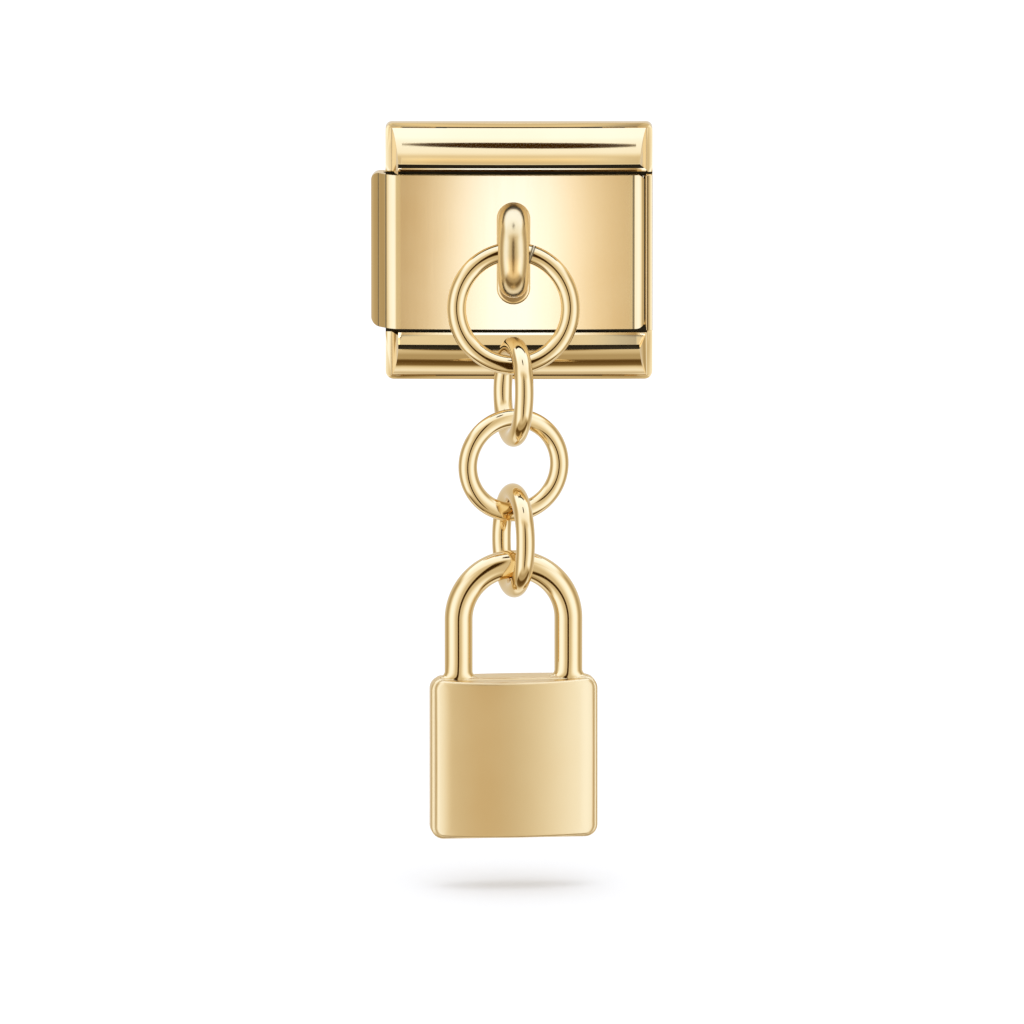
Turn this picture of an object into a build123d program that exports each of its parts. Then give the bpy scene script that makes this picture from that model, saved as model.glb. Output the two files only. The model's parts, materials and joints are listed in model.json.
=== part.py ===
from build123d import *

import math
import os

# Padlock charm on a modular bracelet link, in millimetres.
# +Z is up, -Y is the front that shows on the wrist, +X is right seen from the front.
# The origin is on the link's back face, level with the middle of the face plate
# and on the line down which the loop, the rings and the padlock hang.

# Link: a folded case with a rail above and below, a face plate and a back bracket
link_depth = 2.4  # back face to the rails' highest edge
case_left = 4.571  # hanging line to the rails' left ends
case_right = 4.964  # hanging line to the rails' right ends
case_reach = 4.62  # middle of the link to its top and bottom
case_sheet = 0.35
case_corner = 0.3  # corner radius seen from the front

rail_inner = 3.32  # middle of the link to the rails' inner walls
rail_crease = 4.48  # middle of the link to the outer edge of the rails' sloping fronts
rail_crease_drop = 1.1  # highest edge to that outer edge
rail_side_drop = 1.16  # highest edge to the flat side walls
crown_radius = 1.95  # roundness of the sloping fronts
crown_edge = 0.08  # rounding of the highest edge
end_inset = 0.46  # how far the rails' end facets lean in at the highest edge
end_crease_inset = 0.22  # how far they lean in at the crease
gusset_inner = 2.86  # middle of the link to the gussets that meet the lip
gusset_x = 4.8
tab_inner = 2.9  # middle of the link to the tabs that close the channels' left ends
tab_x = 4.12  # hanging line to the tabs' inner edges

back_round = 0.7  # outside radius between side wall and back
plate_reach = 2.8  # middle of the link to the face plate's long edges
plate_recess = 0.75  # highest edge to the plate's face at its bends
plate_crown = 0.14  # how far the face rises from its two bends to its middle
plate_sheet = 0.43
plate_seat = 0.02  # clearance between the plate and the web under it
plate_left = 5.089  # hanging line to the outside of the left bend
plate_right = 4.696  # hanging line to the outside of the right curl
plate_corner = 0.3  # corner radius at both bends seen from the front
bend_radius = 0.91  # outside radius of the left bend
hook_radius = 0.48  # outside radius where the hook turns in
hook_end = 3.85  # hanging line to the end of the hook's leg
curl_radius = 0.41  # outside radius of the right curl
curl_end = 0.36  # back face to the end of the curl's leg
web_inset = 0.15  # clearance between the web's ends and the plate's bends

bracket_sheet = 0.23
bracket_play = 0.04  # clearance between bracket and case
bracket_left = 3.7  # hanging line to the bracket's left edge
bracket_step = 0.25  # width of the steps beside the back folds
lip_gap = 0.036  # between the right curl and the lip
lip_round = 0.1

# Loop soldered to the face plate, on a flat foot with round ends
loop_outer = 1.68
loop_hole = 0.385
loop_width = 1.1
loop_stand = 1.45  # plate's face at its bends to the loop's centre
loop_height = 0.3  # middle of the plate to the loop's centre
foot_width = 1.2
foot_length = 3.66
foot_height = 0.02  # middle of the plate to the foot's middle
foot_stand = 0.3  # middle of the plate's face to the foot's front
foot_round = 0.12

# Jump rings, by the radius of the wire's centre line
wire = 0.67
link_play = 0.02  # clearance where one ring hangs in another
drop_ring_radius = 2.03
drop_ring_lean = 10.3  # degrees forward, because the next ring lies against the lower rail
seam_gap = 0.04
seam_angle = 19.4  # degrees from the ring's top
connector_radius = 1.64
connector_yaw = 13.4  # degrees from edge-on
connector_roll = 2.0  # degrees, top to the right
middle_ring_radius = 1.7
middle_ring_yaw = 16.0
lower_connector_radius = 1.71
lower_connector_yaw = 14.5
lower_connector_roll = 1.4

# Padlock, cast in one piece
shackle_wire = 1.0
shackle_radius = 1.97
shackle_leg = 2.07
foot_flare = 0.14  # flare where the legs meet the body
padlock_yaw = 6.0  # degrees, its front turned to the right
body_width = 5.98
body_height = 5.82
body_corner = 0.45
belt_thickness = 0.8
belt_round = 0.23
pillow_inset = 0.19  # belt's outside to the crisp rim of the pillow faces
pillow_thickness = 2.4
pillow_radius = 9.0

# Places that follow from the sizes above
crown_y = -link_depth
face_y = crown_y + plate_recess
plate_back_y = face_y + plate_sheet
web_front_y = plate_back_y + plate_seat
web_back_y = web_front_y + case_sheet
bend_x = bend_radius - plate_left
curl_x = plate_right - curl_radius
bracket_front_y = -case_sheet - bracket_play - bracket_sheet

lean = math.radians(drop_ring_lean)
hinge_y = face_y - loop_stand
hinge_z = loop_height - (loop_hole - wire / 2 - link_play)
chain_y = hinge_y - 2 * drop_ring_radius * math.sin(lean)
hang_pitch = wire + link_play
connector_z = hinge_z - 2 * drop_ring_radius * math.cos(lean) + hang_pitch - connector_radius
middle_ring_z = connector_z - connector_radius + hang_pitch - middle_ring_radius
lower_connector_z = middle_ring_z - middle_ring_radius + hang_pitch - lower_connector_radius
swing_z = (
    lower_connector_z - lower_connector_radius + wire / 2 + shackle_wire / 2 + link_play
)
arch_z = swing_z - shackle_radius
body_top = arch_z - shackle_leg
body_middle = body_top - body_height / 2


def block(x, y, z):
    """A box between the given low and high values along each axis."""
    size = [high - low for low, high in (x, y, z)]
    middle = [(high + low) / 2 for low, high in (x, y, z)]
    return Pos(*middle) * Box(*size)


def rounded_slab(left, right, reach, radius):
    """Everything inside a rectangle with rounded corners, seen from the front."""
    outline = Plane.XZ * Pos((right - left) / 2, 0) * RectangleRounded(
        left + right, 2 * reach, radius
    )
    return extrude(outline, 2 * link_depth, both=True)


def rail_section():
    """The upper rail, cut across: ledge, inner wall, sloping front, side wall and back fold."""
    crease = (crown_y + rail_crease_drop, rail_crease)
    side_y = crown_y + rail_side_drop
    inner_round = back_round - case_sheet
    section = (
        Polyline((web_back_y, plate_reach), (web_front_y, plate_reach), (web_front_y, rail_inner))
        + Line((web_front_y, rail_inner), (crown_y, rail_inner))
        + RadiusArc((crown_y, rail_inner), crease, crown_radius)
        + Polyline(crease, (side_y, case_reach), (-back_round, case_reach))
        + RadiusArc((-back_round, case_reach), (0, case_reach - back_round), back_round)
        + Polyline(
            (0, case_reach - back_round),
            (0, rail_inner),
            (-case_sheet, rail_inner),
            (-case_sheet, case_reach - back_round),
        )
        + RadiusArc(
            (-case_sheet, case_reach - back_round),
            (-back_round, case_reach - case_sheet),
            -inner_round,
        )
        + Polyline(
            (-back_round, case_reach - case_sheet),
            (web_back_y, case_reach - case_sheet),
            (web_back_y, plate_reach),
        )
    )
    return make_face(Plane.YZ * section)


def case_plan():
    """Everything inside the case's ends, whose facets lean in towards the front."""
    crease_y = crown_y + rail_crease_drop
    side_y = crown_y + rail_side_drop
    front_y = 2 * crown_y
    lean = (end_inset - end_crease_inset) / rail_crease_drop
    far_inset = end_inset + lean * link_depth
    corners = [
        (-case_left, 0),
        (-case_left, side_y),
        (end_crease_inset - case_left, crease_y),
        (far_inset - case_left, front_y),
        (case_right - far_inset, front_y),
        (case_right - end_crease_inset, crease_y),
        (case_right, side_y),
        (case_right, 0),
    ]
    return extrude(make_face(Polyline(corners, close=True)), case_reach, both=True)


def rail_case():
    """The folded case: two rails with their spring channels, joined by a web under the plate."""
    rail = Pos(-case_left, 0, 0) * extrude(rail_section(), case_left + case_right, dir=(1, 0, 0))
    crown = [
        edge
        for edge in rail.edges().filter_by(Axis.X)
        if abs(edge.center().Y - crown_y) + abs(edge.center().Z - rail_inner) < 0.01
    ]
    rail = fillet(crown, crown_edge)
    over_wall = rail_inner + crown_edge
    gusset_start = case_right - end_inset
    gusset = Polyline(
        (gusset_start, over_wall),
        (gusset_start, rail_inner),
        (gusset_x, gusset_inner),
        (case_right, gusset_inner),
        (case_right, over_wall),
        close=True,
    )
    tab = Polyline(
        (-case_left, over_wall), (-case_left, tab_inner), (-tab_x, tab_inner), (-tab_x, over_wall),
        close=True,
    )
    front = block((-case_left, case_right), (crown_y + crown_edge, web_back_y), (0, case_reach))
    for outline in (gusset, tab):
        rail = rail + (extrude(Plane.XZ * make_face(outline), link_depth) & front)
    web = block(
        (bend_x + web_inset, curl_x - web_inset),
        (web_front_y, web_back_y),
        (-plate_reach - 0.1, plate_reach + 0.1),
    )
    shape = rail + mirror(rail, Plane.XY) + web
    return shape & case_plan() & rounded_slab(case_left, case_right, case_reach, case_corner)


def plate_section():
    """The face plate, seen from above: hook, left bend, flat face and right curl."""
    bend_y = face_y + bend_radius
    inner_bend = bend_radius - plate_sheet
    turn_y = bend_y + hook_radius
    inner_turn = hook_radius - plate_sheet
    leg_x = plate_right - plate_sheet
    middle_x = (bend_x + curl_x) / 2
    outside = (
        Line((-hook_end, turn_y), (hook_radius - plate_left, turn_y))
        + RadiusArc((hook_radius - plate_left, turn_y), (-plate_left, bend_y), -hook_radius)
        + RadiusArc((-plate_left, bend_y), (bend_x, face_y), -bend_radius)
        + ThreePointArc((bend_x, face_y), (middle_x, face_y - plate_crown), (curl_x, face_y))
        + RadiusArc((curl_x, face_y), (plate_right, face_y + curl_radius), -curl_radius)
        + Line((plate_right, face_y + curl_radius), (plate_right, -curl_end))
    )
    inside = (
        Line((-hook_end, turn_y - plate_sheet), (hook_radius - plate_left, turn_y - plate_sheet))
        + RadiusArc(
            (hook_radius - plate_left, turn_y - plate_sheet),
            (plate_sheet - plate_left, bend_y),
            -inner_turn,
        )
        + RadiusArc((plate_sheet - plate_left, bend_y), (bend_x, plate_back_y), -inner_bend)
        + ThreePointArc(
            (bend_x, plate_back_y), (middle_x, plate_back_y - plate_crown), (leg_x, plate_back_y)
        )
        + Line((leg_x, plate_back_y), (leg_x, -curl_end))
    )
    ends = Line((leg_x, -curl_end), (plate_right, -curl_end)) + Line(
        (-hook_end, turn_y - plate_sheet), (-hook_end, turn_y)
    )
    return make_face(outside + inside + ends)


def loop():
    """The loop that is soldered upright on the plate, with its hole from side to side."""
    radial = (loop_outer - loop_hole) / 2
    top = loop_height + (loop_outer + loop_hole) / 2
    section = Plane((0, hinge_y, top), x_dir=(1, 0, 0), z_dir=(0, -1, 0)) * Ellipse(
        loop_width / 2, radial
    )
    centre = (0, hinge_y, loop_height)
    halves = [revolve(section, Axis(centre, (side, 0, 0)), 180) for side in (1, -1)]
    return halves[0] + halves[1]


def foot():
    """The flat foot with round ends under the loop, its front edge rounded."""
    back_y = plate_back_y - plate_crown
    front_y = face_y - plate_crown - foot_stand
    outline = Plane.XZ * Pos(0, foot_height) * Rot(0, 0, 90) * SlotOverall(foot_length, foot_width)
    slab = Pos(0, back_y, 0) * extrude(outline, back_y - front_y)
    return fillet(slab.faces().sort_by(Axis.Y)[0].edges(), foot_round)


def face_plate():
    sheet = extrude(plate_section(), plate_reach, both=True)
    sheet = sheet & rounded_slab(plate_left, plate_right, plate_reach, plate_corner)
    return sheet + foot() + loop()


def back_bracket():
    """The sheet that closes the back and slides in both channels, with its lip bent up to the front."""
    lip_x = plate_right + lip_gap
    pad = rail_inner - bracket_play
    flange = case_reach - back_round
    flange_back_y = bracket_front_y + bracket_sheet
    lip_outside = case_right
    back = block((-bracket_left, lip_outside), (-bracket_sheet, 0), (-pad, pad))
    lip = block((lip_x, lip_outside), (face_y, 0), (-plate_reach, plate_reach))
    bracket = back + lip
    for side in (1, -1):
        step = sorted((side * (pad - bracket_step), side * pad))
        wing = sorted((side * (pad - bracket_step), side * flange))
        bracket += block((-bracket_left, lip_x), (bracket_front_y, 0), step)
        bracket += block((-bracket_left, lip_x), (bracket_front_y, flange_back_y), wing)
    rims = [
        edge
        for edge in bracket.edges().filter_by(Axis.Z)
        if abs(edge.center().X - lip_outside) < 0.01
    ]
    return fillet(rims, lip_round)


def jump_ring(radius, z, yaw=0.0, roll=0.0):
    """A round-wire ring in the hanging chain, turned by yaw, its top rolled to the right."""
    ring = Rot(90, 0, 0) * Torus(radius, wire / 2)
    return Pos(0, chain_y, z) * Rot(0, roll, 0) * Rot(0, 0, yaw) * ring


def drop_ring():
    """The ring in the loop: it leans forward on its way down and has a cut in its wire."""
    ring = Rot(90, 0, 0) * Torus(drop_ring_radius, wire / 2)
    slit = Rot(0, seam_angle, 0) * Pos(0, 0, drop_ring_radius) * Box(seam_gap, 2 * wire, 2 * wire)
    hung = Pos(0, 0, -drop_ring_radius) * (ring - slit)
    return Pos(0, hinge_y, hinge_z) * Rot(-drop_ring_lean, 0, 0) * hung


def shackle_foot(x):
    """The flare where a leg of the shackle runs out into the body."""
    leg = shackle_wire / 2
    low = body_top - 1.2 * pillow_inset
    high = body_top + foot_flare
    slant = foot_flare * (1 - math.sqrt(0.5))
    profile = Polyline(
        (leg + foot_flare, body_top), (leg + foot_flare, low), (0, low), (0, high), (leg, high)
    ) + ThreePointArc(
        (leg, high), (leg + slant, body_top + slant), (leg + foot_flare, body_top)
    )
    upright = Plane((x, chain_y, 0), x_dir=(1, 0, 0), z_dir=(0, -1, 0))
    return revolve(upright * make_face(profile), Axis((x, chain_y, 0), (0, 0, 1)))


def padlock():
    """Body with a rounded belt and two pillow faces, and a round shackle, in one casting."""
    upright = Plane((0, chain_y, body_middle), x_dir=(1, 0, 0), z_dir=(0, -1, 0))
    belt = extrude(
        upright * RectangleRounded(body_width, body_height, body_corner),
        belt_thickness / 2,
        both=True,
    )
    rims = belt.faces().sort_by(Axis.Y)[0].edges() + belt.faces().sort_by(Axis.Y)[-1].edges()
    belt = fillet(rims, belt_round)
    pillow = extrude(
        upright
        * RectangleRounded(
            body_width - 2 * pillow_inset,
            body_height - 2 * pillow_inset,
            body_corner - pillow_inset,
        ),
        pillow_thickness / 2,
        both=True,
    )
    reach = pillow_radius - pillow_thickness / 2
    domes = [
        Pos(0, chain_y + side * reach, body_middle) * Sphere(pillow_radius) for side in (1, -1)
    ]
    lens = domes[0] & domes[1]
    foot_z = body_top - body_corner
    arch = (
        Line((-shackle_radius, foot_z), (-shackle_radius, arch_z))
        + ThreePointArc(
            (-shackle_radius, arch_z), (0, arch_z + shackle_radius), (shackle_radius, arch_z)
        )
        + Line((shackle_radius, arch_z), (shackle_radius, foot_z))
    )
    path = Plane((0, chain_y, 0), x_dir=(1, 0, 0), z_dir=(0, -1, 0)) * arch
    start = Plane((-shackle_radius, chain_y, foot_z))
    shackle = sweep(start * Circle(shackle_wire / 2), path=path)
    feet = [shackle_foot(side * shackle_radius) & lens for side in (1, -1)]
    casting = belt + (pillow & lens) + shackle + feet[0] + feet[1]
    return Pos(0, chain_y, 0) * Rot(0, 0, padlock_yaw) * Pos(0, -chain_y, 0) * casting


pieces = {
    "face_plate": face_plate(),
    "rail_case": rail_case(),
    "back_bracket": back_bracket(),
    "drop_ring": drop_ring(),
    "upper_connector": jump_ring(
        connector_radius, connector_z, yaw=connector_yaw - 90, roll=connector_roll
    ),
    "middle_ring": jump_ring(middle_ring_radius, middle_ring_z, yaw=middle_ring_yaw),
    "lower_connector": jump_ring(
        lower_connector_radius,
        lower_connector_z,
        yaw=lower_connector_yaw - 90,
        roll=lower_connector_roll,
    ),
    "padlock": padlock(),
}

os.makedirs("parts", exist_ok=True)
for name, piece in pieces.items():
    export_step(piece, f"parts/{name}.step")
    box = piece.bounding_box()
    print(f"{name}: {piece.volume:.3f} mm3, X {box.min.X:.2f} to {box.max.X:.2f},", end=" ")
    print(f"Y {box.min.Y:.2f} to {box.max.Y:.2f}, Z {box.min.Z:.2f} to {box.max.Z:.2f}")
print(f"drop hinge at Y {hinge_y:.4f}, Z {hinge_z:.4f}")
print(f"padlock hinge at Y {chain_y:.4f}, Z {swing_z:.4f}")
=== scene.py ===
import json
import math

import bmesh
import bpy
from mathutils import Matrix, Vector


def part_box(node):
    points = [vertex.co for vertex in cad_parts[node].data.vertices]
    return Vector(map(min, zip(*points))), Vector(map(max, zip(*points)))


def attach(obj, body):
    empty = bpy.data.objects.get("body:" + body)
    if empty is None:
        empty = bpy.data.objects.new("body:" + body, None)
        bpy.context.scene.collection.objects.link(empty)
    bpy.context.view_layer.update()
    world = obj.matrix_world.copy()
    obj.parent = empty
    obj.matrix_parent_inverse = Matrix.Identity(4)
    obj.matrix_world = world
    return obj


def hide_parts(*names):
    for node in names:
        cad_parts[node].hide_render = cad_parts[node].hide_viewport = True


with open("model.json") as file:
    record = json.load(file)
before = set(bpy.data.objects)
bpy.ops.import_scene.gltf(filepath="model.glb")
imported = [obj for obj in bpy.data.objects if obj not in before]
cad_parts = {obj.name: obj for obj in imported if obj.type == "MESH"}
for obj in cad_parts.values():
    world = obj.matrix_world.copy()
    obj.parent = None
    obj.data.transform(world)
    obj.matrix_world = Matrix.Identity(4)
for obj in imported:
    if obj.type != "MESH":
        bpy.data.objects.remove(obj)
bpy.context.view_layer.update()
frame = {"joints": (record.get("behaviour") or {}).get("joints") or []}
mm = 0.001
print("stage: frame loaded")


# small helpers for meshes
def addObject(name, mesh):
    piece = bpy.data.objects.new(name, mesh)
    bpy.context.scene.collection.objects.link(piece)
    return piece


def meshFrom(name, points, faces):
    mesh = bpy.data.meshes.new(name)
    mesh.from_pydata([Vector(point) * mm for point in points], [], faces)
    mesh.validate()
    return mesh


skinWeld = 0.0002  # how near two points of a skin lie to be one


def cleaned(mesh, mergeAt=0.0005):
    # welds doubled points and turns every face outwards
    work = bmesh.new()
    work.from_mesh(mesh)
    bmesh.ops.remove_doubles(work, verts=work.verts, dist=mergeAt * mm)
    bmesh.ops.recalc_face_normals(work, faces=work.faces)
    work.to_mesh(mesh)
    work.free()
    return mesh


def arc(start, end, radius, count):
    # points from start to end on an arc that bulges to the left of the way, both ends included
    (ax, ay), (bx, by) = start, end
    half = math.dist(start, end) / 2
    away = math.sqrt(max(radius**2 - half**2, 0.0))
    ux, uy = (bx - ax) / (2 * half), (by - ay) / (2 * half)
    side = 1 if radius > 0 else -1
    cx = (ax + bx) / 2 + side * uy * away
    cy = (ay + by) / 2 - side * ux * away
    first = math.atan2(ay - cy, ax - cx)
    turn = -side * 2 * math.asin(half / abs(radius))
    steps = [first + turn * step / count for step in range(count + 1)]
    return [(cx + abs(radius) * math.cos(a), cy + abs(radius) * math.sin(a)) for a in steps]


def prism(name, outline, low, high, place):
    # outline is a closed ring of two-number points, place turns (a, b, along) into x, y, z
    count = len(outline)
    points = [place(a, b, low) for a, b in outline] + [place(a, b, high) for a, b in outline]
    faces = [(i, (i + 1) % count, count + (i + 1) % count, count + i) for i in range(count)]
    faces += [tuple(range(count)), tuple(range(2 * count - 1, count - 1, -1))]
    return cleaned(meshFrom(name, points, faces))


def alongX(a, b, along):
    return (along, a, b)


def alongY(a, b, along):
    return (a, along, b)


def alongZ(a, b, along):
    return (a, b, along)


def roundedRing(left, right, low, high, radius, count=8):
    ring = []
    corners = [(right, high, 0), (left, high, 1), (left, low, 2), (right, low, 3)]
    for x, z, quarter in corners:
        sx = -1 if x == right else 1
        sz = -1 if z == high else 1
        for step in range(count + 1):
            angle = math.radians(90 * (quarter + step / count))
            ring.append(
                (x + sx * radius + radius * math.cos(angle), z + sz * radius + radius * math.sin(angle))
            )
    return ring


def block(name, x, y, z):
    return prism(name, [(x[0], z[0]), (x[1], z[0]), (x[1], z[1]), (x[0], z[1])], *y, alongY)


def skin(rows, count, closed=False):
    # four-sided faces between rows of points that lie one after the other
    faces = []
    for i in range(rows if closed else rows - 1):
        n = (i + 1) % rows
        for j in range(count):
            m = (j + 1) % count
            faces.append((i * count + j, i * count + m, n * count + m, n * count + j))
    return faces


def rowsToMesh(name, rows, closed=False):
    # joins rows of points into a skin; open skins get a face over each end
    count = len(rows[0])
    faces = skin(len(rows), count, closed)
    if not closed:
        last = (len(rows) - 1) * count
        faces += [tuple(range(count)), tuple(range(last + count - 1, last - 1, -1))]
    return cleaned(meshFrom(name, [point for row in rows for point in row], faces), skinWeld)


def baked(piece):
    # the plain mesh that an object's modifiers give
    graph = bpy.context.evaluated_depsgraph_get()
    return bpy.data.meshes.new_from_object(piece.evaluated_get(graph))


def combine(mesh, tool, operation):
    # one exact boolean; both meshes are used up
    body = addObject("combineBody", mesh)
    other = addObject("combineTool", tool)
    change = body.modifiers.new("combine", "BOOLEAN")
    change.operation = operation
    change.solver = "EXACT"
    change.object = other
    result = baked(body)
    for used in (body, other):
        bpy.data.objects.remove(used)
    return cleaned(result)


def finishEdges(name, mesh, width, limit, fine=6.0, segments=3):
    # rounds the sharp edges, keeps fine folds crisp and lets flat faces stay flat
    work = bmesh.new()
    work.from_mesh(mesh)
    weights = work.edges.layers.float.new("bevel_weight_edge")
    for face in work.faces:
        face.smooth = True
    for edge in work.edges:
        if not edge.is_manifold:
            continue
        fold = math.degrees(edge.calc_face_angle())
        narrow = min(face.calc_area() for face in edge.link_faces) / edge.calc_length()
        rounded = fold > limit and narrow > 1.2 * width * mm
        edge[weights] = 1.0 if rounded else 0.0
        edge.smooth = rounded or fold < fine
    work.to_mesh(mesh)
    work.free()
    piece = addObject(name, mesh)
    edges = piece.modifiers.new("edges", "BEVEL")
    edges.width = width * mm
    edges.segments = segments
    edges.limit_method = "WEIGHT"
    edges.miter_outer = "MITER_ARC"
    normals = piece.modifiers.new("normals", "WEIGHTED_NORMAL")
    normals.weight = 90
    normals.keep_sharp = True
    result = baked(piece)
    bpy.data.objects.remove(piece)
    return result


def sliceAcross(mesh, places):
    # extra cuts across x, so that long faces can follow a gentle curve
    work = bmesh.new()
    work.from_mesh(mesh)
    for x in places:
        parts = work.verts[:] + work.edges[:] + work.faces[:]
        bmesh.ops.bisect_plane(work, geom=parts, plane_co=(x * mm, 0, 0), plane_no=(1, 0, 0), dist=1e-8)
    work.to_mesh(mesh)
    work.free()
    return mesh


class Signal:
    # wraps a socket, so that sums and products of values add their own Math nodes
    def __init__(self, tree, socket):
        self.tree = tree
        self.socket = socket

    def run(self, operation, *values):
        node = self.tree.nodes.new("ShaderNodeMath")
        node.operation = operation
        for slot, value in zip(node.inputs, values):
            if isinstance(value, Signal):
                self.tree.links.new(value.socket, slot)
            else:
                slot.default_value = value
        return Signal(self.tree, node.outputs[0])

    def __add__(self, other):
        return self.run("ADD", self, other)

    __radd__ = __add__

    def __sub__(self, other):
        return self.run("SUBTRACT", self, other)

    def __rsub__(self, other):
        return self.run("SUBTRACT", other, self)

    def __mul__(self, other):
        return self.run("MULTIPLY", self, other)

    __rmul__ = __mul__

    def __truediv__(self, other):
        return self.run("DIVIDE", self, other)

    def __pow__(self, other):
        return self.run("POWER", self, other)

    def __rpow__(self, other):
        return self.run("POWER", other, self)

    def __neg__(self):
        return self.run("MULTIPLY", self, -1.0)

    def __abs__(self):
        return self.run("ABSOLUTE", self)

    def atLeast(self, other):
        return self.run("MAXIMUM", self, other)

    def atMost(self, other):
        return self.run("MINIMUM", self, other)


class Shader:
    # a node tree with one way to add any node; a node given as a value stands for its first output
    def __init__(self, tree):
        self.tree = tree
        tree.nodes.clear()

    def add(self, kind, settings=None, values=None):
        node = self.tree.nodes.new(kind)
        for name, value in (settings or {}).items():
            if name == "stops":
                self.setStops(node.color_ramp, value)
            else:
                setattr(node, name, value)
        for name, value in (values or {}).items():
            slot = node.inputs[name]
            if isinstance(value, Signal):
                self.tree.links.new(value.socket, slot)
            elif isinstance(value, bpy.types.Node):
                self.tree.links.new(value.outputs[0], slot)
            elif isinstance(value, bpy.types.NodeSocket):
                self.tree.links.new(value, slot)
            else:
                slot.default_value = value
        return node

    def setStops(self, ramp, stops):
        while len(ramp.elements) < len(stops):
            ramp.elements.new(1.0)
        for element, (place, colour) in zip(ramp.elements, stops):
            element.position = place
            element.color = colour

    def value(self, node, name=0):
        return Signal(self.tree, node.outputs[name])

    def smooth(self, source, low, high):
        # 0 below low and 1 above high, with a soft step between
        node = self.add(
            "ShaderNodeMapRange",
            {"interpolation_type": "SMOOTHSTEP"},
            {"Value": source, "From Min": low, "From Max": high},
        )
        return self.value(node)

    def window(self, source, low, high, soft):
        rise = self.smooth(source, low - soft, low + soft)
        return rise * (1 - self.smooth(source, high - soft, high + soft))


# gold, polished and satin
goldLook = {
    "tone": (0.83, 0.635, 0.335),
    "shadeTone": (0.815, 0.612, 0.315),
    "polishedRoughness": 0.07,
    "plateRoughness": 0.2,
    "loopRoughness": 0.22,
    "lockRoughness": 0.32,
    "recessRoughness": 0.4,
    "hazeSize": 260.0,
    "scratchSize": 3600.0,
    "scratchDepth": 0.0000006,
}


def goldMaterial(name, roughness, brushing=0.0, brushAcross=True, depth=1.0, metallic=1.0):
    # plated brass: a warm tone that drifts a little, handling haze, and fine polishing lines; depth
    # darkens the tone, which paints shade on the loop, the seams and the gaps
    material = bpy.data.materials.new(name)
    material.use_nodes = True
    shader = Shader(material.node_tree)
    place = shader.add("ShaderNodeTexCoord").outputs["Object"]
    haze = shader.value(
        shader.add(
            "ShaderNodeTexNoise",
            values={"Vector": place, "Scale": goldLook["hazeSize"], "Detail": 3.0, "Roughness": 0.55},
        )
    )
    squeeze = (1.0, 1.0, 0.04) if brushAcross else (0.04, 1.0, 1.0)
    lined = shader.add("ShaderNodeMapping", values={"Vector": place, "Scale": squeeze})
    lines = shader.value(
        shader.add(
            "ShaderNodeTexNoise",
            values={"Vector": lined, "Scale": goldLook["scratchSize"], "Detail": 4.0, "Roughness": 0.7},
        )
    )
    blend = shader.add(
        "ShaderNodeMix",
        {"data_type": "RGBA"},
        {
            "Factor": shader.smooth(haze, 0.3, 0.7),
            "A": (*(part * depth for part in goldLook["shadeTone"]), 1.0),
            "B": (*(part * depth for part in goldLook["tone"]), 1.0),
        },
    )
    rough = roughness + (haze - 0.5) * (roughness * 0.35) + (lines - 0.5) * (0.02 + brushing)
    bump = shader.add(
        "ShaderNodeBump",
        values={"Height": lines, "Strength": 0.25 + 4 * brushing, "Distance": goldLook["scratchDepth"]},
    )
    surface = shader.add(
        "ShaderNodeBsdfPrincipled",
        values={
            "Base Color": blend.outputs["Result"],
            "Metallic": metallic,
            "Roughness": rough.atLeast(0.02),
            "Specular IOR Level": 0.5 * metallic,
            "Normal": bump,
        },
    )
    shader.add("ShaderNodeOutputMaterial", values={"Surface": surface})
    return material


polishedGold = goldMaterial("polishedGold", goldLook["polishedRoughness"])
satinPlateGold = goldMaterial("satinPlateGold", goldLook["plateRoughness"], brushing=0.03)
# the loop's copy of the gold is a touch darker: painted shade
satinLoopGold = goldMaterial("satinLoopGold", goldLook["loopRoughness"], brushing=0.01, depth=0.93)
satinLockGold = goldMaterial("satinLockGold", goldLook["lockRoughness"], brushing=0.02)
# painted shade for the seams of the bends and beside the cut of the drop ring
seamShadeGold = goldMaterial("seamShadeGold", goldLook["recessRoughness"], depth=0.36)
paintedShadeGold = goldMaterial(  # painted shade: dark, rough and not metallic, for the gaps
    "paintedShadeGold", goldLook["recessRoughness"], depth=0.05, metallic=0.0
)
print("stage: gold mixed")


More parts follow.
